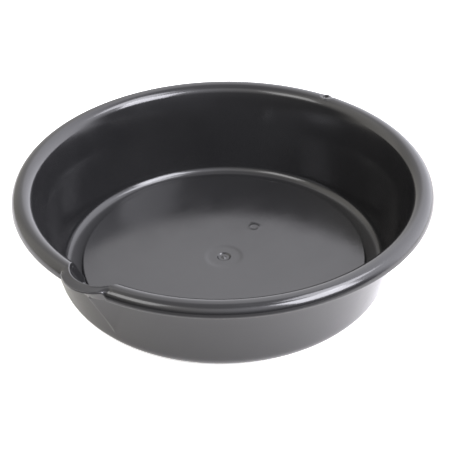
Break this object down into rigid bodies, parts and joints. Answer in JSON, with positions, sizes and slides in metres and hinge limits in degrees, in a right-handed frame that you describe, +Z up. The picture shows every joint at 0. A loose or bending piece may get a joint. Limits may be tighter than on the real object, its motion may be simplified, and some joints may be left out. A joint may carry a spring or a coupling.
{
  "type": "oil drain pan",
  "caption": "Round moulded oil drain pan with a rolled rim, a pouring spout with a flat lip and a V-shaped keel, a raised dished floor and a hanging hole",
  "frame": {"origin": "middle of the foot ring, on the ground and on the axis of the round basin", "axes": "+Z up; the spout points along -Y; the hanging hole lies 2 degrees from +Y, towards -X; +X to the right when looking along +Y"},
  "size_m": [0.38, 0.389, 0.096],
  "materials": {
    "pan_plastic": "injection-moulded polypropylene, dark grey, satin, with fine scuffs"
  },
  "bodies": {
    "root": {"pan": "pan_plastic"}
  },
  "joints": []
}
